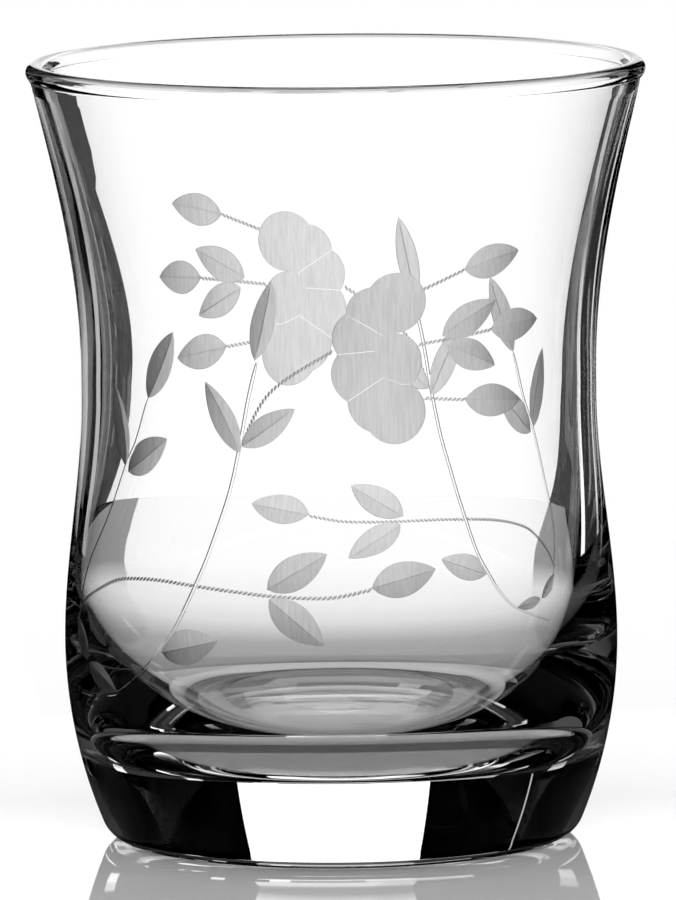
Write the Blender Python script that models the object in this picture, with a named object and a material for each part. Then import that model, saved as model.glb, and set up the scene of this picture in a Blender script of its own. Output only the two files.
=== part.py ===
"""Waisted tumbler glass with a heavy base: one piece of clear glass, turned about the Z axis.

Metres, +Z up. The origin is the centre of the ring that the glass stands on.
"""

import math

import bpy

# Outside of the glass
HEIGHT = 0.1010
RIM_RADIUS = 0.0400
WAIST_RADIUS = 0.0333
WAIST_LOW = 0.0575
WAIST_HIGH = 0.0610
BELLY_RADIUS = 0.0358
BELLY_HEIGHT = 0.0260
BELLY_ARC_RADIUS = 0.0620
HEEL_RADIUS = 0.0039
FLARE_SLOPE = 0.247

# Rim bead, fire polished round
BEAD_RADIUS = 0.0012
BEAD_OVERHANG = 0.0006

# Inside of the glass
RIM_WALL = 0.0018
WAIST_WALL = 0.0024
BELLY_WALL = 0.0034
BASE_THICKNESS = 0.0115
BOWL_FILLET = 0.0165
BOWL_RISE = 0.0225
FLOOR_RISE = 0.0010

# Underside: a flat standing ring round a shallow hollow
STANDING_RING_WIDTH = 0.0035
HOLLOW_DEPTH = 0.0008

# Facets
TURN_STEPS = 72
MERGE_DISTANCE = 0.00001

GLASS_COLOUR = (0.96, 0.97, 0.97, 1.0)
GLASS_ROUGHNESS = 0.02
GLASS_IOR = 1.5


def clear_scene():
    for old in list(bpy.data.objects):
        bpy.data.objects.remove(old, do_unlink=True)


def glass_material():
    made = bpy.data.materials.new("clear_glass")
    made.use_nodes = True
    shader = made.node_tree.nodes["Principled BSDF"]
    shader.inputs["Base Color"].default_value = GLASS_COLOUR
    shader.inputs["Roughness"].default_value = GLASS_ROUGHNESS
    shader.inputs["IOR"].default_value = GLASS_IOR
    shader.inputs["Transmission Weight"].default_value = 1.0
    return made


def arc(centre, radius, start, end, steps):
    """Points (r, z) on a circle from one angle to another, both ends included."""
    angles = [start + (end - start) * i / steps for i in range(steps + 1)]
    return [(centre[0] + radius * math.cos(a), centre[1] + radius * math.sin(a)) for a in angles]


def sweep(start, end, end_slope, steps):
    """A cubic (r, z) curve that leaves start upright and reaches end with the slope dr/dz."""
    (r0, z0), (r1, z1) = start, end
    rise = z1 - z0
    points = []
    for i in range(steps + 1):
        t = i / steps
        blend = t**2 * (3 - 2 * t)
        r = r0 + (r1 - r0) * blend + end_slope * rise * t**2 * (t - 1)
        points.append((r, z0 + rise * t))
    return points


def outer_profile():
    """From the standing ring's outer edge up to the underside of the rim bead."""
    arc_centre = (BELLY_RADIUS - BELLY_ARC_RADIUS, BELLY_HEIGHT)
    reach = BELLY_ARC_RADIUS - HEEL_RADIUS
    drop = BELLY_HEIGHT - HEEL_RADIUS
    ring_radius = arc_centre[0] + math.sqrt(reach**2 - drop**2)
    heel_end = -math.asin(drop / reach)
    heel = arc((ring_radius, HEEL_RADIUS), HEEL_RADIUS, -math.pi / 2, heel_end, 5)
    belly = arc(arc_centre, BELLY_ARC_RADIUS, heel_end, 0.0, 8)
    waist = sweep((BELLY_RADIUS, BELLY_HEIGHT), (WAIST_RADIUS, WAIST_LOW), 0.0, 9)
    flare_top = (RIM_RADIUS - BEAD_OVERHANG, HEIGHT - 2 * BEAD_RADIUS)
    flare = sweep((WAIST_RADIUS, WAIST_HIGH), flare_top, FLARE_SLOPE, 10)
    return heel + belly[1:] + waist[1:] + flare


def bead_profile():
    """Round the rim bead, from its outer side over the top to its inner side."""
    centre = (RIM_RADIUS - BEAD_RADIUS, HEIGHT - BEAD_RADIUS)
    return arc(centre, BEAD_RADIUS, -math.pi / 6, math.pi * 7 / 6, 10)


def inner_profile():
    """From under the bead's inner side down the wall and the bowl's fillet to the floor's middle."""
    flare_top = (RIM_RADIUS - BEAD_OVERHANG - RIM_WALL, HEIGHT - 2.5 * BEAD_RADIUS)
    inner_waist = WAIST_RADIUS - WAIST_WALL
    bowl_radius = BELLY_RADIUS - BELLY_WALL
    bowl_top = BASE_THICKNESS + BOWL_RISE
    floor_radius = bowl_radius - BOWL_FILLET
    flare = sweep((inner_waist, WAIST_HIGH), flare_top, FLARE_SLOPE, 9)
    belly = sweep((bowl_radius, bowl_top), (inner_waist, WAIST_LOW), 0.0, 6)
    turns = arc((0.0, 0.0), 1.0, 0.0, -math.pi / 2, 10)[1:]
    fillet = [(floor_radius + BOWL_FILLET * c, bowl_top + BOWL_RISE * s) for c, s in turns]
    parts = [i / 4 for i in range(3, -1, -1)]
    floor = [(floor_radius * t, BASE_THICKNESS + FLOOR_RISE * (1 - t**2)) for t in parts]
    return flare[::-1] + belly[::-1] + fillet + floor


def underside_profile(ring_outer):
    """From the axis out across the shallow hollow to the inner edge of the standing ring."""
    ring_inner = ring_outer - STANDING_RING_WIDTH
    parts = [i / 4 for i in range(5)]
    return [(ring_inner * t, HOLLOW_DEPTH * (1 - t**2)) for t in parts]


def turned(name, profile, material):
    """A profile of (r, z) points, from the axis round to the axis, turned about Z."""
    mesh = bpy.data.meshes.new(name)
    points = [(max(r, 0.0), 0.0, z) for r, z in profile]
    mesh.from_pydata(points, [(i, i + 1) for i in range(len(points) - 1)], [])
    mesh.materials.append(material)
    body = bpy.data.objects.new(name, mesh)
    bpy.context.scene.collection.objects.link(body)
    screw = body.modifiers.new("turn", "SCREW")
    screw.axis = "Z"
    screw.angle = 2 * math.pi
    screw.steps = TURN_STEPS
    screw.render_steps = TURN_STEPS
    screw.use_merge_vertices = True
    screw.merge_threshold = MERGE_DISTANCE
    screw.use_smooth_shade = True
    return body


def main():
    clear_scene()
    outside = outer_profile()
    up = underside_profile(outside[0][0]) + outside + bead_profile() + inner_profile()
    turned("glass_body", up[::-1], glass_material())


main()
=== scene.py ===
"""Looks of a waisted tumbler glass with wheel-cut sprays, on a glossy white table.

Metres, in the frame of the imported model. Angles run round the axis from the front, -Y, towards +X.
The cut decoration is drawn on the unrolled wall, in degrees and millimetres.
"""

import math

import bpy
import numpy as np
from mathutils import Matrix, Vector
from mathutils.geometry import delaunay_2d_cdt

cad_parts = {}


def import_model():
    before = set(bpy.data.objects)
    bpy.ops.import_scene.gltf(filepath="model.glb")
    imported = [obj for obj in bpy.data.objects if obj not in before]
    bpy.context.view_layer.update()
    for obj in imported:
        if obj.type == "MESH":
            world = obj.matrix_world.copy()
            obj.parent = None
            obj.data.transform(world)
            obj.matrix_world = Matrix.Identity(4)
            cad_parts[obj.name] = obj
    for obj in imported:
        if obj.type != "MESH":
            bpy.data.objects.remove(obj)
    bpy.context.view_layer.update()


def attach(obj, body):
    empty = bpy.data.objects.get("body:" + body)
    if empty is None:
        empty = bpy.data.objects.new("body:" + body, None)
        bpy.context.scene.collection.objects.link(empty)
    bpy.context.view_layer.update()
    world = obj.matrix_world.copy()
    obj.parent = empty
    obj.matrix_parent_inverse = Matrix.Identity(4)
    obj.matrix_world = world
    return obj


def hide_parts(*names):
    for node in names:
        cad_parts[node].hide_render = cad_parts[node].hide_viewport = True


# Glass body, as in the solid
HEIGHT = 0.1010
RIM_RADIUS = 0.0400
WAIST_RADIUS = 0.0333
WAIST_LOW = 0.0575
WAIST_HIGH = 0.0610
BELLY_RADIUS = 0.0358
BELLY_HEIGHT = 0.0260
BELLY_ARC_RADIUS = 0.0620
HEEL_RADIUS = 0.0039
FLARE_SLOPE = 0.247
BEAD_RADIUS = 0.0012
BEAD_OVERHANG = 0.0006
INNER_DROP = 2.5 * BEAD_RADIUS
RIM_WALL = 0.0018
WAIST_WALL = 0.0024
BELLY_WALL = 0.0034
BASE_THICKNESS = 0.0115
BOWL_FILLET = 0.0165
BOWL_RISE = 0.0225
FLOOR_RISE = 0.0010
STANDING_RING_WIDTH = 0.0035
HOLLOW_DEPTH = 0.0008

# Uneven wall: how far the inside stands off the axis to +X, at which height, and how far that spreads
DRIFTS = [(-0.00135, 0.033, 0.012), (0.00025, 0.068, 0.018)]

# Fineness of the body: steps round the axis and along each stretch of the outline
TURN_STEPS = 240
BEAD_STEPS = 28
FLARE_STEPS = 44
BELLY_STEPS = 28
FILLET_STEPS = 48
FLOOR_STEPS = 12
HOLLOW_STEPS = 16
RING_STEPS = 4
HEEL_STEPS = 16
# How far the bead's arc runs past its widest points, in radians
BEAD_WRAP = 0.52

# The outer wall is made as two halves that meet at seams, at this angle and opposite it
SEAM_ANGLE = -100.5
SEAM_STEPS = 60

# Unrolled wall, in millimetres: width for one radian, then the lattices of points that fill it
MM = 1000.0
UNROLL = 34.0
LATTICE = 1.5
LATTICE_GAP = 0.55
PETAL_LATTICE = 0.5
PETAL_LATTICE_GAP = 0.5
PETAL_MARGIN = 4.0
ROW_SHARE = 0.866
MERGE_DISTANCE = 1e-5
LEAST_DEPTH = 1e-4
CHUNK = 500

# Cut decoration, once on the front and again on the back. Angles are degrees, heights and sizes millimetres.
# Leaves: angle and height of the foot, angle and height of the tip, width
LEAVES = [
    (-18.5, 65.7, -14.0, 76.1, 3.0),
    (-22.2, 53.9, -30.5, 62.8, 3.3),
    (-21.7, 54.7, -9.6, 59.7, 3.4),
    (-39.8, 28.0, -26.1, 30.1, 4.5),
    (6.4, 37.0, 20.2, 39.1, 4.4),
    (-15.5, 36.8, -2.8, 41.4, 4.2),
    (-15.0, 35.6, -3.5, 29.8, 4.2),
    (-46.9, 60.0, -38.5, 68.9, 3.8),
    (-53.4, 50.3, -41.0, 55.1, 4.2),
    (-54.3, 51.0, -59.2, 61.2, 3.4),
    (-65.3, 25.3, -71.6, 30.7, 2.6),
    (-64.9, 25.0, -53.7, 21.9, 3.0),
    (27.5, 76.9, 41.0, 78.9, 4.3),
    (35.1, 69.0, 48.6, 69.7, 4.2),
    (23.0, 68.6, 35.9, 72.7, 4.1),
    (24.2, 67.4, 36.5, 64.3, 3.9),
    (28.6, 60.2, 43.8, 59.5, 4.2),
]
LEAF_DEPTH = 0.34
LEAF_FULLNESS = 0.85
LEAF_STEPS = 14
# A leaf's width at its foot, and how much of it is lost towards the tip
LEAF_TAPER = (1.18, 0.36)

# A cut's steep edge and the scratch along a leaf's middle: width and depth
EDGE = (0.07, 0.035)
RIB = (0.09, 0.028)
# The scratch ends where the leaf has become this narrow
RIB_MARGIN = 0.3
# Parts that a cut is shaded in: two sides, each with a face, a steep edge and half of the scratch
CUT_PARTS = 6
EDGE_PART = 2
RIB_PART = 4
# A petal's ridge, counted after its face and its edge, and a groove's flat bottom, after its two sides
RIDGE_PART = 2
BOTTOM_PART = 2

# Flower: angle, height and radius of each petal
PETALS = [
    (12.4, 73.1, 3.9),
    (7.5, 71.7, 3.5),
    (4.5, 68.7, 3.5),
    (5.1, 64.1, 4.0),
    (12.1, 65.5, 3.7),
    (12.3, 59.1, 4.1),
    (8.8, 60.6, 4.1),
]
# Pairs of petals, by their places in the list above, that meet in a bright ridge
RIDGES = [(0, 4), (1, 2), (2, 3), (3, 6), (4, 5), (4, 6)]
PETAL_HOLLOW = 0.012
PETAL_STEPS = 40
RIDGE_WIDTH = 0.08
RIDGE_STEPS = 12

# Stems: angles and heights along each. Smooth ones are grooves, twisted ones are rows of slanting nicks.
SMOOTH_STEMS = [
    [(-18.1, 65.4), (-20.2, 60.7), (-22.5, 54.0), (-24.4, 49.0), (-27.1, 44.0), (-30.3, 38.8), (-35.7, 32.0),
     (-40.1, 28.4), (-45.0, 25.3), (-52.2, 22.3), (-58.8, 21.3), (-66.9, 20.9), (-75.8, 21.2)],
    [(-46.9, 59.9), (-50.9, 54.3), (-54.3, 51.0), (-59.8, 44.1), (-67.0, 37.5), (-69.5, 33.4), (-70.4, 31.4)],
]
TWISTED_STEMS = [
    [(-1.2, 67.0), (-8.8, 64.4), (-14.7, 61.9), (-18.3, 59.1), (-21.7, 54.8)],
    [(6.4, 36.8), (-1.0, 35.9), (-7.7, 35.8), (-15.0, 36.0), (-23.1, 36.4), (-31.8, 36.8), (-40.2, 37.1),
     (-47.1, 37.0), (-53.6, 36.5), (-60.0, 35.1), (-67.4, 33.0), (-70.4, 31.0), (-71.1, 27.4)],
    [(27.5, 76.9), (18.1, 74.6)],
    [(35.1, 68.9), (17.6, 67.6)],
    [(28.6, 60.2), (19.0, 60.7)],
]
PATH_STEPS = 24
STEM_WIDTH = 0.50
STEM_EDGE = 0.11
STEM_DEPTH = 0.07
STEM_STEP = 0.9
# A smooth stem's width at its ends, and how much it gains with each step from there
STEM_TAPER = (0.6, 0.2)
NICK_LENGTH = 0.90
NICK_WIDTH = 0.36
NICK_DEPTH = 0.09
NICK_PITCH = 0.62
NICK_SLANT = 34.0
NICK_STEPS = 4

# Camera, from the photograph
CAMERA_DISTANCE = 1.418
CAMERA_HEIGHT = 0.2282
CAMERA_AIM_HEIGHT = 0.050
CAMERA_ROLL = 0.0101
CAMERA_CLIP = (0.05, 20.0)
FOCAL_PIXELS = 11044.0
AIM_PIXEL = (339.4, 452.1)
FRAME_WIDTH = 676
FRAME_HEIGHT = 900
SENSOR = 36.0

# Bounces that light needs to get through the base and the walls
BOUNCES = 32
GLOSSY_BOUNCES = 24

# Glass, the waviness from blowing and the surface of the cuts
GLASS_IOR = 1.52
WAVE_STRETCH = (110.0, 110.0, 45.0)
WAVE_DETAIL = 1.0
WAVE_DEPTH = 0.000004
GROUND_ROUGHNESS = 0.55
GROUND_GREYS = (0.55, 0.75)
MARK_STRETCH = (3400.0, 1700.0, 260.0)
MARK_DETAIL = 2.0
MARK_STOPS = (0.3, 0.7)

# Table: the share that it mirrors, the rest being matt
TABLE_RADIUS = 0.290
TABLE_SIDES = 128
MIRROR_SHARE = 0.62
MATT_MIRROR = 0.06
FAR_MIRROR = 0.05
GLOSS_ROUGHNESS = 0.03
# Through the glass the table is a full mirror behind it, but for a strip between two lines, and matt in front
STRIP_LEFT = -0.167
STRIP_SLOPE = 0.364
STRIP_RIGHT = 0.110
FRONT_SLOPE = 0.577
# By itself the table mirrors only near the glass and in front of it: distances from the axis, and +Y
NEAR_REACH = (0.075, 0.110)
MIRROR_BACK = (0.0, 0.03)

# Painted shade in the matt table's colour, close round the glass and seen by way of other surfaces
TABLE_WHITE = 1.0
TABLE_SHADE = 0.40
HIGH_SHADE = 0.70
SHADE_REACH = (0.046, 0.095)
UNDER_REACH = 0.034
DEEP_SHADE = 0.08
STEEP_SHADE = 0.05
TOP_SHADE = 1.0
MILD_SHADE = 0.65

# Slants at which the table's looks change, from 0, straight down, to 1, along the table
FACING_BLEND = 0.5
TOP_FACING = (0.06, 0.12)
STEEP_FACING = (0.20, 0.30)
MILD_FACING = (0.46, 0.58)
THROUGH_FACING = (0.66, 0.74)
CLOSE_FACING = (0.75, 0.81)
SEEN_FACING = (0.76, 0.84)
LOW_FACING = (0.88, 0.92)

# Light panels round the table. Their angles run from the back, +Y, towards +X
PANEL_RADIUS = 0.440
PANEL_STEPS = 12
PANEL_STRENGTH = 1.25
FAINT = 0.07
PANEL_FLOOR = -0.060
PANEL_MIDDLE = 0.050
PANEL_TOP = 0.350
BACK_PANEL = (-11.9, 14.7)
SIDE_HALF = 13.0
SIDE_TURNS = (90, 135, 180, 225, 270)
SLIT_PANEL = (-32.7, -32.3)
SLIT_STRENGTH = 0.6
# Low panels, side by side: right end, strength seen through the glass, strength mirrored inside its wall
LOW_START = -41.5
LOW_PANELS = [
    (-36.3, 0.0, 0.65),
    (-22.8, FAINT, 0.0),
    (-13.2, FAINT, 0.7),
    (-3.5, PANEL_STRENGTH, 0.9),
    (8.5, PANEL_STRENGTH, 0.3),
    (12.0, PANEL_STRENGTH, 1.6),
    (14.7, PANEL_STRENGTH, 0.0),
    (20.5, FAINT, 0.0),
    (23.5, FAINT, 1.3),
    (40.0, FAINT, 0.03),
    (44.0, 0.0, 1.4),
]
# In front of the others, a dark flag and a panel that the table beyond the glass doesn't mirror:
# angles and heights of their corners
FLAG = [
    (-14.2, 0.009), (-13.2, 0.009), (-12.2, 0.014), (-11.4, 0.0235),
    (-11.1, 0.040), (-11.1, 0.050), (-14.2, 0.050),
]
FLAG_RADIUS = 0.436
FLAG_EDGE = 0.7
DIM = [
    (-11.9, 0.0), (-8.9, 0.0), (-8.2, 0.013), (-6.8, 0.045),
    (-5.4, 0.100), (-5.4, 0.350), (-11.9, 0.350),
]
DIM_RADIUS = 0.4385
DIM_EDGE = 0.9
# A ray that was mirrored after passing more surfaces than this came off the table
TABLE_DEPTH = 2.5

# Light of the sky on the matt table
SKY_LIGHT = 1.06


# Turned outline

def sweep(start, end, end_slope, steps):
    """A cubic (r, z) curve that leaves start upright and reaches end with the slope dr/dz."""
    t = np.linspace(0.0, 1.0, steps + 1)
    rise = end[1] - start[1]
    r = start[0] + (end[0] - start[0]) * t**2 * (3 - 2 * t) + end_slope * rise * t**2 * (t - 1)
    return np.column_stack([r, start[1] + rise * t])


def arc(centre, radius, start, end, steps):
    """Points (r, z) on a circle from one angle to another."""
    a = np.linspace(start, end, steps + 1)
    return np.column_stack([centre[0] + radius * np.cos(a), centre[1] + radius * np.sin(a)])


ARC_CENTRE = (BELLY_RADIUS - BELLY_ARC_RADIUS, BELLY_HEIGHT)
HEEL_REACH = BELLY_ARC_RADIUS - HEEL_RADIUS
HEEL_DROP = BELLY_HEIGHT - HEEL_RADIUS
RING_RADIUS = ARC_CENTRE[0] + math.sqrt(HEEL_REACH**2 - HEEL_DROP**2)
HEEL_END = -math.asin(HEEL_DROP / HEEL_REACH)
WALL_LOW = ARC_CENTRE[1] + BELLY_ARC_RADIUS * math.sin(HEEL_END)
WALL_HIGH = HEIGHT - 2 * BEAD_RADIUS


def wall_radius(z):
    """Radius of the outer wall at heights z, from the heel to the underside of the bead."""
    z = np.asarray(z, float)
    belly = ARC_CENTRE[0] + np.sqrt(np.maximum(BELLY_ARC_RADIUS**2 - (z - BELLY_HEIGHT) ** 2, 0.0))
    t = np.clip((z - BELLY_HEIGHT) / (WAIST_LOW - BELLY_HEIGHT), 0, 1)
    waist = BELLY_RADIUS + (WAIST_RADIUS - BELLY_RADIUS) * t**2 * (3 - 2 * t)
    rise = WALL_HIGH - WAIST_HIGH
    t = np.clip((z - WAIST_HIGH) / rise, 0, 1)
    top = RIM_RADIUS - BEAD_OVERHANG
    flare = WAIST_RADIUS + (top - WAIST_RADIUS) * t**2 * (3 - 2 * t) + FLARE_SLOPE * rise * t**2 * (t - 1)
    return np.where(z < BELLY_HEIGHT, belly, np.where(z < WAIST_LOW, waist, flare))


def wall_frame(angle, z):
    """Points and outward normals of the outer wall at angles (radians) and heights."""
    step = 1e-6
    r = wall_radius(z)
    slope = (wall_radius(z + step) - wall_radius(z - step)) / (2 * step)
    around = np.column_stack([np.sin(angle), -np.cos(angle)])
    points = np.column_stack([around * r[:, None], z])
    normals = np.column_stack([around, -slope])
    return points, normals / np.linalg.norm(normals, axis=1)[:, None]


def over_outline():
    """From the wall's top over the rim bead and down the inside to the floor's middle.

    Also gives the place in the list from which the inside drifts off the axis.
    """
    top = RIM_RADIUS - BEAD_OVERHANG
    bead_centre = (RIM_RADIUS - BEAD_RADIUS, HEIGHT - BEAD_RADIUS)
    bead = arc(bead_centre, BEAD_RADIUS, -BEAD_WRAP, math.pi + BEAD_WRAP, BEAD_STEPS)
    inner_waist = WAIST_RADIUS - WAIST_WALL
    inner_top = (top - RIM_WALL, HEIGHT - INNER_DROP)
    flare = sweep((inner_waist, WAIST_HIGH), inner_top, FLARE_SLOPE, FLARE_STEPS)[::-1]
    bowl_radius = BELLY_RADIUS - BELLY_WALL
    bowl_top = BASE_THICKNESS + BOWL_RISE
    belly = sweep((bowl_radius, bowl_top), (inner_waist, WAIST_LOW), 0.0, BELLY_STEPS)[::-1]
    floor_radius = bowl_radius - BOWL_FILLET
    fillet = arc((0.0, 0.0), 1.0, 0.0, -math.pi / 2, FILLET_STEPS)[1:]
    fillet = fillet * (BOWL_FILLET, BOWL_RISE) + (floor_radius, bowl_top)
    across = np.linspace(floor_radius, 0.0, FLOOR_STEPS + 1)[1:]
    floor = np.column_stack([across, BASE_THICKNESS + FLOOR_RISE * (1 - (across / floor_radius) ** 2)])
    wall_top = np.array([[top, WALL_HIGH]])
    drift_start = len(wall_top) + len(bead) + 1
    return np.vstack([wall_top, bead, flare, belly, fillet, floor]), drift_start


def under_outline():
    """From the middle of the hollow underneath over the standing ring to the top of the heel."""
    ring_inner = RING_RADIUS - STANDING_RING_WIDTH
    t = np.linspace(0.0, 1.0, HOLLOW_STEPS + 1)
    hollow = np.column_stack([ring_inner * t, HOLLOW_DEPTH * (1 - t**2)])
    across = np.linspace(ring_inner, RING_RADIUS, RING_STEPS + 1)[1:-1]
    ring = np.column_stack([across, np.zeros(len(across))])
    heel = arc((RING_RADIUS, HEEL_RADIUS), HEEL_RADIUS, -math.pi / 2, HEEL_END, HEEL_STEPS)
    return np.vstack([hollow, ring, heel])


def outline_normals(outline, first, last):
    """Normals (r, z) to the right of travel along an outline, with given ones at its ends."""
    step = np.gradient(outline, axis=0)
    normals = np.column_stack([step[:, 1], -step[:, 0]])
    normals /= np.linalg.norm(normals, axis=1)[:, None]
    normals[0] = first
    normals[-1] = last
    return normals


# Glass body

class Shell:
    """Collects the vertices, faces, materials and corner normals of one closed mesh."""

    def __init__(self):
        self.points = []
        self.faces = []
        self.normals = []
        self.slots = []

    def add(self, points):
        start = len(self.points)
        self.points.extend(map(tuple, points))
        return np.arange(start, start + len(points))

    def face(self, corners, normals, slot=0):
        self.faces.append(tuple(int(c) for c in corners))
        self.normals.extend(map(tuple, normals))
        self.slots.append(slot)


def ring_angles():
    """Angles of the points in every ring of the body, in radians, from the first seam."""
    return np.radians(SEAM_ANGLE) + 2 * math.pi * np.arange(TURN_STEPS) / TURN_STEPS


def drift(z):
    """How far the inside stands off the axis, to +X: a blown wall is a little uneven."""
    return sum(offset * np.exp(-(((z - height) / spread) ** 2)) for offset, height, spread in DRIFTS)


def turn_outline(shell, outline, normals, edge_ring, edge_first, drift_start):
    """Turns an outline whose one end is on the axis and whose other end is the wall's edge ring."""
    angles = ring_angles()
    around = np.column_stack([np.sin(angles), -np.cos(angles)])
    count = len(outline)
    edge, pole = (0, count - 1) if edge_first else (count - 1, 0)
    rows = []
    for i, (r, z) in enumerate(outline):
        if i == edge:
            rows.append(edge_ring)
        elif i == pole:
            rows.append(np.repeat(shell.add([(0.0, 0.0, z)]), TURN_STEPS))
        else:
            points = np.column_stack([around * r, np.full(TURN_STEPS, z)])
            if i >= drift_start:
                points[:, 0] += drift(z)
            rows.append(shell.add(points))
    vectors = [np.column_stack([around * n[0], np.full(TURN_STEPS, n[1])]) for n in normals]
    for i in range(count - 1):
        for j in range(TURN_STEPS):
            k = (j + 1) % TURN_STEPS
            corners = [(rows[i][j], vectors[i][j]), (rows[i][k], vectors[i][k])]
            corners += [(rows[i + 1][k], vectors[i + 1][k]), (rows[i + 1][j], vectors[i + 1][j])]
            if rows[i][j] == rows[i][k]:
                corners.pop(1)
            elif rows[i + 1][j] == rows[i + 1][k]:
                corners.pop(3)
            shell.face([c for c, _ in corners], [n for _, n in corners])


# Cut decoration on the unrolled wall, in millimetres

def unrolled(angle, height):
    """Where an angle in degrees and a height lie on the unrolled wall."""
    return np.array([math.radians(angle) * UNROLL, height])


def smooth_path(points, step):
    """A soft curve through the points, sampled at about equal steps."""
    points = np.array(points)
    ends = np.vstack([2 * points[0] - points[1], points, 2 * points[-1] - points[-2]])
    t = np.linspace(0, 1, PATH_STEPS, endpoint=False)[:, None]
    runs = []
    for a, b, c, d in zip(ends, ends[1:], ends[2:], ends[3:]):
        bend = (2 * a - 5 * b + 4 * c - d) * t**2
        twist = (3 * b - a - 3 * c + d) * t**3
        runs.append(0.5 * (2 * b + (c - a) * t + bend + twist))
    dense = np.vstack(runs + [points[-1:]])
    along = np.concatenate([[0], np.cumsum(np.linalg.norm(np.diff(dense, axis=0), axis=1))])
    count = max(2, round(along[-1] / step))
    at = np.linspace(0, along[-1], count + 1)
    return np.column_stack([np.interp(at, along, dense[:, 0]), np.interp(at, along, dense[:, 1])])


class LeafCut:
    """A mitred wheel cut: pointed at both ends, deepest along its middle line."""

    def __init__(self, foot, tip, width, depth, steps, finished=True):
        self.foot = foot
        self.half = width / 2
        self.depth = depth
        self.length = np.linalg.norm(tip - foot)
        self.along = (tip - foot) / self.length
        self.across = np.array([-self.along[1], self.along[0]])
        self.steps = steps
        self.finished = finished

    def spread(self, s):
        """Half width along the leaf, as a share of its middle one."""
        return (4 * s * (1 - s)) ** LEAF_FULLNESS * (LEAF_TAPER[0] - LEAF_TAPER[1] * s)

    def lines(self):
        """Lines that the triangles of the wall follow."""
        s = np.linspace(0, 1, self.steps + 1)
        middle = self.foot + np.outer(s * self.length, self.along)
        side = np.outer(self.half * self.spread(s), self.across)
        lines = [middle, middle + side, middle - side]
        if self.finished:
            inner = np.outer(self.half * self.spread(s) - EDGE[0], self.across)[1:-1]
            rib = RIB[0] * self.across
            for sign in (1, -1):
                lines += [middle[1:-1] + sign * inner, middle[2:-2] + sign * rib]
        return lines

    def depths(self, points):
        """Depth and part number: the two sides, the steep edge and the scratch along the middle."""
        offset = points - self.foot
        s = offset @ self.along / self.length
        w = offset @ self.across / self.half
        inside = (s > 0) & (s < 1)
        gap = np.where(inside, self.spread(np.clip(s, 0, 1)) - np.abs(w), 0.0)
        depth = self.depth * gap
        part = (w > 0).astype(int)
        if self.finished:
            depth = depth + EDGE[1] * np.clip(gap * self.half / EDGE[0], 0, 1)
            near = 1 - np.abs(w) * self.half / RIB[0]
            depth = depth + RIB[1] * np.clip(near, 0, 1) * (gap > RIB_MARGIN)
            part = np.where(gap * self.half < EDGE[0], part + EDGE_PART, part)
            part = np.where((near > 0) & (gap > RIB_MARGIN), part % 2 + RIB_PART, part)
        return np.maximum(depth, 0.0), part


class PetalCut:
    """A round shallow hollow."""

    def __init__(self, centre, radius):
        self.centre, self.radius = centre, radius

    def lines(self):
        a = np.linspace(0, 2 * math.pi, PETAL_STEPS + 1)
        ring = np.column_stack([np.cos(a), np.sin(a)])
        return [self.centre + self.radius * ring, self.centre + (self.radius - EDGE[0]) * ring]

    def depths(self, points):
        far = np.linalg.norm(points - self.centre, axis=1)
        edge = np.clip((self.radius - far) / EDGE[0], 0, 1)
        depth = np.maximum(PETAL_HOLLOW * (self.radius**2 - far**2), 0.0) + EDGE[1] * edge
        return depth, np.where(edge < 1, 1, 0)


class GrooveCut:
    """A fine polished groove with a flat bottom along a path."""

    def __init__(self, path):
        self.path = path
        run = np.gradient(path, axis=0)
        run /= np.linalg.norm(run, axis=1)[:, None]
        place = np.arange(len(path))
        taper = np.minimum(1.0, STEM_TAPER[0] + np.minimum(place, place[::-1]) * STEM_TAPER[1])
        self.side = np.column_stack([-run[:, 1], run[:, 0]]) * taper[:, None] * STEM_WIDTH / 2

    def lines(self):
        inner = self.side * (1 - STEM_EDGE / np.linalg.norm(self.side, axis=1))[:, None]
        lines = []
        for side in (self.side, inner):
            rim = np.vstack([self.path + side, (self.path - side)[::-1]])
            lines.append(np.vstack([rim, rim[:1]]))
        return lines

    def depths(self, points):
        best = np.full(len(points), np.inf)
        part = np.zeros(len(points), int)
        share = np.ones(len(points))
        for i in range(len(self.path) - 1):
            run = self.path[i + 1] - self.path[i]
            t = np.clip((points - self.path[i]) @ run / (run @ run), 0, 1)
            gap = points - self.path[i] - t[:, None] * run
            far = np.linalg.norm(gap, axis=1)
            half = (1 - t) * np.linalg.norm(self.side[i]) + t * np.linalg.norm(self.side[i + 1])
            near = far < best
            best = np.where(near, far, best)
            share = np.where(near, half, share)
            part = np.where(near, (run[0] * gap[:, 1] - run[1] * gap[:, 0] > 0).astype(int), part)
        depth = STEM_DEPTH * np.clip((share - best) / STEM_EDGE, 0, 1)
        return depth, np.where(share - best > STEM_EDGE, BOTTOM_PART, part)


def petal_seams(cuts):
    """The straight ridges where neighbouring petals meet."""
    seams = []
    for i, a in enumerate(cuts):
        for j, b in enumerate(cuts[:i]):
            run = b.centre - a.centre
            gap = np.linalg.norm(run)
            if gap >= a.radius + b.radius:
                continue
            t = (gap**2 + a.radius**2 - b.radius**2) / (2 * gap)
            reach = math.sqrt(max(a.radius**2 - t**2, 0.0))
            middle = a.centre + run / gap * t
            side = np.array([-run[1], run[0]]) / gap * reach
            across = np.linspace(-1, 1, RIDGE_STEPS + 1)[:, None] * side
            for shift in (-0.5, 0.0, 0.5) if (j, i) in RIDGES else (0.0,):
                seams.append(middle + run / gap * RIDGE_WIDTH * shift + across)
    return seams


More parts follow.
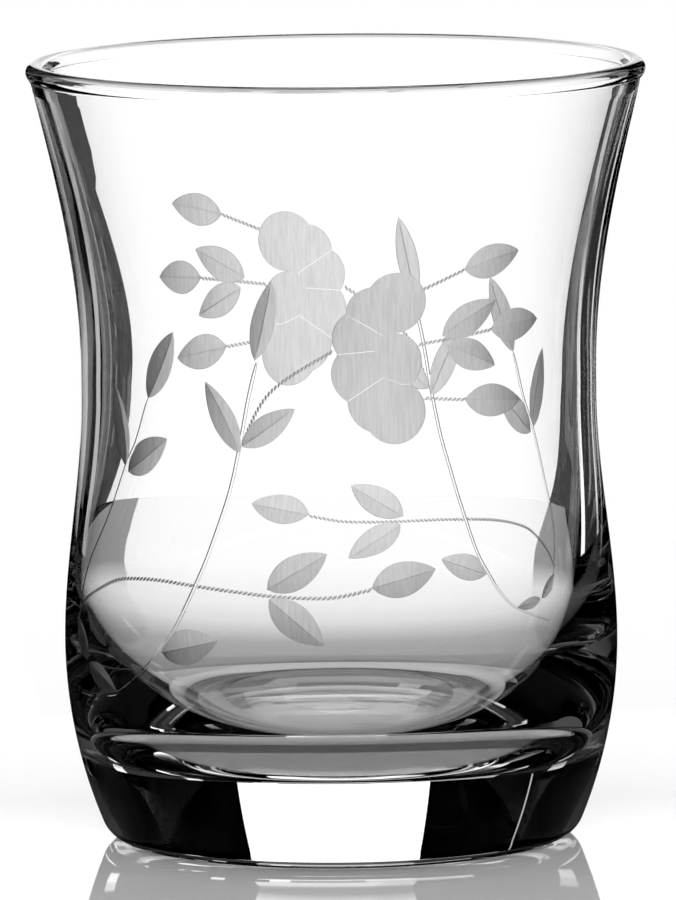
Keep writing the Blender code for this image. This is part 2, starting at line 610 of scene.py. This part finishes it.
def on_ridge(petals, points):
    """True where a point lies on the narrow bright ridge between the two deepest petals there."""
    depth = np.array([petal.depths(points)[0] for petal in petals])
    order = np.argsort(-depth, axis=0)
    centres = np.array([petal.centre for petal in petals])
    radii = np.array([petal.radius for petal in petals])
    a, b = order[0], order[1]
    power = np.sum((points - centres[a]) ** 2, axis=1) - radii[a] ** 2
    power -= np.sum((points - centres[b]) ** 2, axis=1) - radii[b] ** 2
    far = np.abs(power) / (2 * np.linalg.norm(centres[a] - centres[b], axis=1))
    meet = np.zeros((len(petals), len(petals)), bool)
    for i, j in RIDGES:
        meet[i, j] = meet[j, i] = True
    return meet[a, b] & (far < RIDGE_WIDTH / 2) & (np.take_along_axis(depth, order, axis=0)[1] > 0)


def decoration():
    """All the cuts of one spray, and the seams between its petals."""
    cuts = []
    for a, b, c, d, width in LEAVES:
        cuts.append(LeafCut(unrolled(a, b), unrolled(c, d), width, LEAF_DEPTH, LEAF_STEPS))
    petals = [PetalCut(unrolled(a, z), radius) for a, z, radius in PETALS]
    cuts += petals
    for stem in SMOOTH_STEMS:
        cuts.append(GrooveCut(smooth_path([unrolled(a, z) for a, z in stem], STEM_STEP)))
    slant = math.radians(NICK_SLANT)
    for stem in TWISTED_STEMS:
        path = smooth_path([unrolled(a, z) for a, z in stem], NICK_PITCH)
        for i in range(len(path) - 1):
            heading = math.atan2(*(path[i + 1] - path[i])[::-1]) + slant
            half = np.array([math.cos(heading), math.sin(heading)]) * NICK_LENGTH / 2
            centre = (path[i] + path[i + 1]) / 2
            nick = LeafCut(centre - half, centre + half, NICK_WIDTH, NICK_DEPTH, NICK_STEPS, finished=False)
            cuts.append(nick)
    return cuts, petal_seams(petals)


def lattice(low, high, step):
    """Points of an even triangular lattice that fills a box."""
    rows = np.arange(low[1], high[1], step * ROW_SHARE)
    out = []
    for i, v in enumerate(rows):
        u = np.arange(low[0] + (i % 2) * step / 2, high[0], step)
        out.append(np.column_stack([u, np.full(len(u), v)]))
    return np.vstack(out)


def clear_of(points, others, gap):
    """The points that keep a gap from all the others, tested some at a time to spare memory."""
    keep = np.ones(len(points), bool)
    for start in range(0, len(points), CHUNK):
        part = points[start:start + CHUNK]
        far = np.min(np.sum((part[:, None] - others[None]) ** 2, axis=2), axis=1)
        keep[start:start + CHUNK] = far > gap**2
    return points[keep]


def half_wall(cuts, seams):
    """Half of the unrolled wall, with every cut line in its triangles: points, triangles and edge points."""
    left = math.radians(SEAM_ANGLE) * UNROLL
    right = left + math.pi * UNROLL
    low, high = WALL_LOW * MM, WALL_HIGH * MM
    across = np.linspace(left, right, TURN_STEPS // 2 + 1)
    up = np.linspace(low, high, SEAM_STEPS + 1)
    bottom = np.column_stack([across, np.full(len(across), low)])
    top = np.column_stack([across, np.full(len(across), high)])
    left_side = np.column_stack([np.full(len(up) - 2, left), up[1:-1]])
    right_side = np.column_stack([np.full(len(up) - 2, right), up[1:-1]])
    border = np.vstack([bottom, top, left_side, right_side])
    points = [border]
    edges = []
    count = len(border)
    n, m = len(across), len(up) - 2
    left_run = [0] + list(range(2 * n, 2 * n + m)) + [n]
    right_run = [n - 1] + list(range(2 * n + m, 2 * n + 2 * m)) + [2 * n - 1]
    for run in (list(range(n)), list(range(n, 2 * n)), left_run, right_run):
        edges += list(zip(run, run[1:]))
    for line in [line for cut in cuts for line in cut.lines()] + seams:
        points.append(line)
        edges += [(count + i, count + i + 1) for i in range(len(line) - 1)]
        count += len(line)
    fixed = np.vstack(points)
    fill = clear_of(lattice((left, low), (right, high), LATTICE), fixed, LATTICE * LATTICE_GAP)
    petals = [cut for cut in cuts if isinstance(cut, PetalCut)]
    box = np.array([cut.centre for cut in petals])
    fine = lattice(box.min(0) - PETAL_MARGIN, box.max(0) + PETAL_MARGIN, PETAL_LATTICE)
    inside = np.max([cut.depths(fine)[0] for cut in petals], axis=0) > 0
    fine = clear_of(fine[inside], fixed, PETAL_LATTICE * PETAL_LATTICE_GAP)
    fill = clear_of(fill, fine, LATTICE * LATTICE_GAP)
    every = np.vstack([fixed, fill, fine])
    done = delaunay_2d_cdt([Vector(p) for p in every], edges, [], 0, MERGE_DISTANCE)
    where = np.array([tuple(v) for v in done[0]])
    triangles = np.array(done[2])
    home = {}
    for out, sources in enumerate(done[3]):
        for source in sources:
            if source < len(border):
                home[source] = out
    return where, triangles, home


def cut_surface(cuts, where, triangles):
    """How deep each point lies, which part of which cut each triangle is in, and whether it is polished."""
    depth = np.zeros(len(where))
    middle = where[triangles].mean(axis=1)
    deepest = np.full(len(triangles), LEAST_DEPTH)
    part = np.full(len(triangles), -1)
    for number, cut in enumerate(cuts):
        depth = np.maximum(depth, cut.depths(where)[0])
        here, side = cut.depths(middle)
        won = here > deepest
        part = np.where(won, CUT_PARTS * number + side, part)
        deepest = np.where(won, here, deepest)
    petals = [number for number, cut in enumerate(cuts) if isinstance(cut, PetalCut)]
    grooves = [number for number, cut in enumerate(cuts) if isinstance(cut, GrooveCut)]
    owner = part // CUT_PARTS
    ridge = on_ridge([cuts[number] for number in petals], middle) & np.isin(owner, petals)
    part = np.where(ridge, part + RIDGE_PART, part)
    return depth, part, ridge | np.isin(owner, grooves)


def cut_wall(shell, low_ring, high_ring):
    """The outer wall with its cuts, made as two equal halves that meet at the seams."""
    cuts, seams = decoration()
    where, triangles, home = half_wall(cuts, seams)
    depth, part, polished = cut_surface(cuts, where, triangles)
    n, m = TURN_STEPS // 2 + 1, SEAM_STEPS - 1
    heights = np.linspace(WALL_LOW, WALL_HIGH, SEAM_STEPS + 1)[1:-1]
    first = math.radians(SEAM_ANGLE)
    seam_rows = [shell.add(wall_frame(np.full(m, first + math.pi * k), heights)[0]) for k in (0, 1)]
    for half in (0, 1):
        angle = where[:, 0] / UNROLL + math.pi * half
        points, normals = wall_frame(angle, where[:, 1] / MM)
        points = points - normals * depth[:, None] / MM
        index = np.full(len(where), -1)
        for source, out in home.items():
            if source < n:
                index[out] = low_ring[(source + half * (n - 1)) % TURN_STEPS]
            elif source < 2 * n:
                index[out] = high_ring[(source - n + half * (n - 1)) % TURN_STEPS]
            elif source < 2 * n + m:
                index[out] = seam_rows[half][source - 2 * n]
            else:
                index[out] = seam_rows[1 - half][source - 2 * n - m]
        free = index < 0
        index[free] = shell.add(points[free])
        a, b, c = (points[triangles[:, corner]] for corner in range(3))
        flat = np.cross(b - a, c - a)
        shared = {}
        for t, tri in enumerate(triangles):
            if part[t] >= 0:
                for v in tri:
                    shared[v, part[t]] = shared.get((v, part[t]), 0) + flat[t]
        for t, tri in enumerate(triangles):
            if part[t] < 0:
                shell.face(index[tri], normals[tri])
            else:
                soft = [shared[v, part[t]] / np.linalg.norm(shared[v, part[t]]) for v in tri]
                shell.face(index[tri], soft, 0 if polished[t] else 1)


def build_glass():
    """The whole glass as one closed mesh."""
    shell = Shell()
    angles = ring_angles()
    low_points, low_normals = wall_frame(angles, np.full(TURN_STEPS, WALL_LOW))
    high_points, high_normals = wall_frame(angles, np.full(TURN_STEPS, WALL_HIGH))
    low_ring = shell.add(low_points)
    high_ring = shell.add(high_points)
    over, drift_start = over_outline()
    under = under_outline()

    def flat(normal):
        return np.array([math.hypot(normal[0], normal[1]), normal[2]])

    over_normals = outline_normals(over, first=flat(high_normals[0]), last=(0.0, 1.0))
    under_normals = outline_normals(under, first=(0.0, -1.0), last=flat(low_normals[0]))
    turn_outline(shell, over, over_normals, high_ring, True, drift_start)
    turn_outline(shell, under, under_normals, low_ring, False, len(under))
    cut_wall(shell, low_ring, high_ring)
    mesh = bpy.data.meshes.new("tumbler")
    mesh.from_pydata(shell.points, [], shell.faces)
    mesh.polygons.foreach_set("use_smooth", [True] * len(shell.faces))
    mesh.polygons.foreach_set("material_index", shell.slots)
    mesh.update()
    mesh.normals_split_custom_set(shell.normals)
    glass = bpy.data.objects.new("tumbler", mesh)
    bpy.context.scene.collection.objects.link(glass)
    return glass


# Materials

def empty_tree(owner):
    """The node tree of a material or a world, without its first nodes."""
    owner.use_nodes = True
    owner.node_tree.nodes.clear()
    return owner.node_tree


def connect(tree, socket, value):
    """Links a socket to another node's output, or sets it to a constant."""
    if isinstance(value, bpy.types.NodeSocket):
        tree.links.new(value, socket)
    else:
        socket.default_value = value


def ramp(tree, source, ends, at_low, at_high):
    """Runs from one value to another as the source goes between two ends, and stays level beyond them."""
    node = tree.nodes.new("ShaderNodeMapRange")
    names = ("Value", "From Min", "From Max", "To Min", "To Max")
    for name, value in zip(names, (source, *ends, at_low, at_high)):
        connect(tree, node.inputs[name], value)
    return node.outputs["Result"]


def choose(tree, switch, at_none, at_one):
    """One value where the switch is 0 and another where it is 1 or more."""
    return ramp(tree, switch, (0.0, 1.0), at_none, at_one)


def maths(tree, operation, *values):
    """The result of one maths operation on other nodes' outputs and constants."""
    node = tree.nodes.new("ShaderNodeMath")
    node.operation = operation
    for socket, value in zip(node.inputs, values):
        connect(tree, socket, value)
    return node.outputs["Value"]


def glass_material(name, roughness):
    """Colourless glass, before any texture."""
    material = bpy.data.materials.new(name)
    material.use_nodes = True
    shader = material.node_tree.nodes["Principled BSDF"]
    shader.inputs["Base Color"].default_value = (1.0, 1.0, 1.0, 1.0)
    shader.inputs["Roughness"].default_value = roughness
    shader.inputs["IOR"].default_value = GLASS_IOR
    shader.inputs["Transmission Weight"].default_value = 1.0
    return material


def noise(tree, stretch, detail):
    """A noise value over the surface, stretched by a scale for each axis."""
    place = tree.nodes.new("ShaderNodeTexCoord")
    scale = tree.nodes.new("ShaderNodeMapping")
    scale.inputs["Scale"].default_value = stretch
    texture = tree.nodes.new("ShaderNodeTexNoise")
    texture.inputs["Scale"].default_value = 1.0
    texture.inputs["Detail"].default_value = detail
    tree.links.new(place.outputs["Object"], scale.inputs["Vector"])
    tree.links.new(scale.outputs["Vector"], texture.inputs["Vector"])
    return texture.outputs["Fac"]


def add_bump(tree, height, depth):
    """Bends the surface's normals by a height value that stands for a real depth."""
    bump = tree.nodes.new("ShaderNodeBump")
    bump.inputs["Distance"].default_value = depth
    tree.links.new(height, bump.inputs["Height"])
    tree.links.new(bump.outputs["Normal"], tree.nodes["Principled BSDF"].inputs["Normal"])


def clear_glass():
    """Polished glass, very slightly wavy from blowing."""
    material = glass_material("clear_glass", 0.0)
    tree = material.node_tree
    add_bump(tree, noise(tree, WAVE_STRETCH, WAVE_DETAIL), WAVE_DEPTH)
    return material


def ground_glass():
    """Matt wheel-cut glass with fine upright wheel marks."""
    material = glass_material("ground_glass", GROUND_ROUGHNESS)
    tree = material.node_tree
    marks = noise(tree, MARK_STRETCH, MARK_DETAIL)
    tone = tree.nodes.new("ShaderNodeValToRGB")
    for stop, place, grey in zip(tone.color_ramp.elements, MARK_STOPS, GROUND_GREYS):
        stop.position = place
        stop.color = (grey, grey, grey, 1.0)
    tree.links.new(marks, tone.inputs["Fac"])
    tree.links.new(tone.outputs["Color"], tree.nodes["Principled BSDF"].inputs["Base Color"])
    return material


def distance(tree, position):
    """How far a position is from the middle of the table."""
    node = tree.nodes.new("ShaderNodeVectorMath")
    node.operation = "LENGTH"
    tree.links.new(position, node.inputs[0])
    return node.outputs["Value"]


def table_mirror(tree, position, facing, looked_at):
    """The share of the table that is a mirror, through the glass and by itself."""
    split = tree.nodes.new("ShaderNodeSeparateXYZ")
    tree.links.new(position, split.inputs["Vector"])
    x, y = split.outputs["X"], split.outputs["Y"]
    reach = distance(tree, position)
    right_of = maths(tree, "GREATER_THAN", x, maths(tree, "MULTIPLY_ADD", y, STRIP_SLOPE, STRIP_LEFT))
    strip = maths(tree, "MULTIPLY", right_of, maths(tree, "LESS_THAN", x, STRIP_RIGHT))
    slant = maths(tree, "MULTIPLY", maths(tree, "ABSOLUTE", x), FRONT_SLOPE)
    front = maths(tree, "LESS_THAN", y, slant)
    through = choose(tree, strip, 1.0, MIRROR_SHARE)
    through = choose(tree, front, through, MATT_MIRROR)
    through = ramp(tree, facing, THROUGH_FACING, MATT_MIRROR, through)
    alone = ramp(tree, reach, NEAR_REACH, MIRROR_SHARE, FAR_MIRROR)
    alone = ramp(tree, facing, LOW_FACING, alone, FAR_MIRROR)
    alone = ramp(tree, y, MIRROR_BACK, alone, FAR_MIRROR)
    alone = ramp(tree, facing, SEEN_FACING, MATT_MIRROR, alone)
    return choose(tree, looked_at, through, alone)


def table_painted_shade(tree, position, facing, light_path):
    """The matt colour with painted shade: white by itself, and through the glass darker close round it and at
    steep looks.
    """
    reach = distance(tree, position)
    close = ramp(tree, facing, CLOSE_FACING, HIGH_SHADE, TABLE_SHADE)
    shade = ramp(tree, reach, SHADE_REACH, close, TABLE_WHITE)
    under = maths(tree, "LESS_THAN", reach, UNDER_REACH)
    deep = choose(tree, light_path["Glossy Depth"], 1.0, DEEP_SHADE)
    steep = ramp(tree, facing, TOP_FACING, TOP_SHADE, STEEP_SHADE)
    mild = ramp(tree, facing, MILD_FACING, MILD_SHADE, 1.0)
    steep = ramp(tree, facing, STEEP_FACING, steep, mild)
    beside = maths(tree, "MAXIMUM", under, maths(tree, "MULTIPLY", deep, steep))
    shade = maths(tree, "MULTIPLY", shade, beside)
    return maths(tree, "MAXIMUM", shade, light_path["Is Camera Ray"])


def table_material():
    """White gloss: a mirror at low angles, chalk white from above, with painted shade close round the glass.
    """
    material = bpy.data.materials.new("white_table")
    tree = empty_tree(material)
    position = tree.nodes.new("ShaderNodeNewGeometry").outputs["Position"]
    light_path = tree.nodes.new("ShaderNodeLightPath").outputs
    weight = tree.nodes.new("ShaderNodeLayerWeight")
    weight.inputs["Blend"].default_value = FACING_BLEND
    facing = weight.outputs["Facing"]
    matt = tree.nodes.new("ShaderNodeBsdfDiffuse")
    # The matt colour carries painted shade, darker close round the glass and at steep looks
    tree.links.new(table_painted_shade(tree, position, facing, light_path), matt.inputs["Color"])
    gloss = tree.nodes.new("ShaderNodeBsdfGlossy")
    gloss.inputs["Color"].default_value = (1.0, 1.0, 1.0, 1.0)
    gloss.inputs["Roughness"].default_value = GLOSS_ROUGHNESS
    mix = tree.nodes.new("ShaderNodeMixShader")
    share = table_mirror(tree, position, facing, light_path["Is Camera Ray"])
    tree.links.new(share, mix.inputs["Fac"])
    tree.links.new(matt.outputs["BSDF"], mix.inputs[1])
    tree.links.new(gloss.outputs["BSDF"], mix.inputs[2])
    out = tree.nodes.new("ShaderNodeOutputMaterial")
    tree.links.new(mix.outputs["Shader"], out.inputs["Surface"])
    return material


def panel_material(seen, mirrored, edge, outside=0.0):
    """A light panel, with its strength seen straight or through the glass, and three for mirrored looks.

    These are by way of the table beyond the glass, inside the glass wall, and without passing any glass.
    """
    material = bpy.data.materials.new("light_panel")
    tree = empty_tree(material)
    light_path = tree.nodes.new("ShaderNodeLightPath").outputs
    passed = light_path["Transmission Depth"]
    beyond = maths(tree, "GREATER_THAN", passed, TABLE_DEPTH)
    table = maths(tree, "MULTIPLY", beyond, light_path["Is Reflection Ray"])
    strength = choose(tree, table, edge, mirrored)
    strength = choose(tree, passed, outside, strength)
    strength = choose(tree, light_path["Glossy Depth"], seen, strength)
    light = tree.nodes.new("ShaderNodeEmission")
    tree.links.new(strength, light.inputs["Strength"])
    out = tree.nodes.new("ShaderNodeOutputMaterial")
    tree.links.new(light.outputs["Emission"], out.inputs["Surface"])
    material.cycles.emission_sampling = "NONE"
    return material


# Stage

def plate(name, faces, material):
    """A stage piece made of separate flat faces, each a list of corners."""
    corners, rings = [], []
    for face in faces:
        rings.append(tuple(range(len(corners), len(corners) + len(face))))
        corners += face
    mesh = bpy.data.meshes.new(name)
    mesh.from_pydata(corners, [], rings)
    mesh.materials.append(material)
    made = bpy.data.objects.new(name, mesh)
    bpy.context.scene.collection.objects.link(made)
    return made


def round_edge(radius, start, end, steps, z):
    """Points on a circle, between two angles in degrees from +Y towards +X."""
    turns = np.radians(np.linspace(start, end, steps + 1))
    return [(radius * math.sin(a), radius * math.cos(a), z) for a in turns]


def curved_panel(ends, low, high, material):
    """A panel on a circle round the table, between two angles and two heights."""
    foot = round_edge(PANEL_RADIUS, *ends, PANEL_STEPS, low)
    head = round_edge(PANEL_RADIUS, *ends, PANEL_STEPS, high)
    faces = [[foot[i], foot[i + 1], head[i + 1], head[i]] for i in range(PANEL_STEPS)]
    return plate("panel", faces, material)


def flat_panel(name, outline, radius, material):
    """A panel with an outline of angles and heights."""
    corners = [round_edge(radius, turn, turn, 1, z)[0] for turn, z in outline]
    return plate(name, [corners], material)


def build_panels():
    """Light panels that only the glass and the gloss of the table show."""
    back = panel_material(PANEL_STRENGTH, PANEL_STRENGTH, PANEL_STRENGTH, PANEL_STRENGTH)
    side = panel_material(PANEL_STRENGTH, 0.0, 0.0)
    slit = panel_material(SLIT_STRENGTH, 0.0, 0.0)
    panels = [curved_panel(BACK_PANEL, PANEL_MIDDLE, PANEL_TOP, back)]
    panels.append(curved_panel(SLIT_PANEL, PANEL_FLOOR, PANEL_TOP, slit))
    for turn in SIDE_TURNS:
        panels.append(curved_panel((turn - SIDE_HALF, turn + SIDE_HALF), PANEL_FLOOR, PANEL_TOP, side))
    left = LOW_START
    for right, seen, edge in LOW_PANELS:
        low = panel_material(seen, seen if seen > FAINT else 0.0, edge)
        panels.append(curved_panel((left, right), PANEL_FLOOR, PANEL_MIDDLE, low))
        left = right
    flag = panel_material(FAINT, 0.0, FLAG_EDGE)
    panels.append(flat_panel("flag", FLAG, FLAG_RADIUS, flag))
    dim = panel_material(PANEL_STRENGTH, 0.0, DIM_EDGE, PANEL_STRENGTH)
    panels.append(flat_panel("dim_panel", DIM, DIM_RADIUS, dim))
    for panel in panels:
        panel.visible_camera = False
        panel.visible_diffuse = False
        panel.visible_shadow = False


def build_stage():
    rim = round_edge(TABLE_RADIUS, 0, 360, TABLE_SIDES, 0)[:-1]
    table = plate("table", [rim[::-1]], table_material())
    table.visible_glossy = False
    build_panels()


def build_world():
    """White to the camera and light on matt surfaces: in the glass only the panels and the table show."""
    world = bpy.data.worlds.new("studio")
    bpy.context.scene.world = world
    world.cycles.sampling_method = "NONE"
    tree = empty_tree(world)
    light_path = tree.nodes.new("ShaderNodeLightPath").outputs
    lit = maths(tree, "MINIMUM", light_path["Diffuse Depth"], 1.0)
    strength = maths(tree, "MULTIPLY_ADD", lit, SKY_LIGHT, light_path["Is Camera Ray"])
    sky = tree.nodes.new("ShaderNodeBackground")
    sky.inputs["Color"].default_value = (1.0, 1.0, 1.0, 1.0)
    tree.links.new(strength, sky.inputs["Strength"])
    out = tree.nodes.new("ShaderNodeOutputWorld")
    tree.links.new(sky.outputs["Background"], out.inputs["Surface"])


def build_camera():
    data = bpy.data.cameras.new("camera")
    camera = bpy.data.objects.new("camera", data)
    bpy.context.scene.collection.objects.link(camera)
    bpy.context.scene.camera = camera
    data.sensor_width = SENSOR
    data.lens = FOCAL_PIXELS / FRAME_HEIGHT * SENSOR
    data.shift_x = (FRAME_WIDTH / 2 - AIM_PIXEL[0]) / FRAME_HEIGHT
    data.shift_y = (AIM_PIXEL[1] - FRAME_HEIGHT / 2) / FRAME_HEIGHT
    data.clip_start, data.clip_end = CAMERA_CLIP
    camera.location = (0.0, -CAMERA_DISTANCE, CAMERA_HEIGHT)
    look = Vector((0.0, 0.0, CAMERA_AIM_HEIGHT)) - camera.location
    camera.rotation_mode = "QUATERNION"
    roll = Matrix.Rotation(-CAMERA_ROLL, 4, "Z").to_quaternion()
    camera.rotation_quaternion = look.to_track_quat("-Z", "Y") @ roll


def main():
    scene = bpy.context.scene
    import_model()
    scene.view_settings.view_transform = "Standard"
    scene.cycles.max_bounces = BOUNCES
    scene.cycles.transmission_bounces = BOUNCES
    scene.cycles.glossy_bounces = GLOSSY_BOUNCES
    build_camera()
    build_world()
    build_stage()
    glass = build_glass()
    glass.data.materials.append(clear_glass())
    glass.data.materials.append(ground_glass())
    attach(glass, "root")
    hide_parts("glass_body")


main()
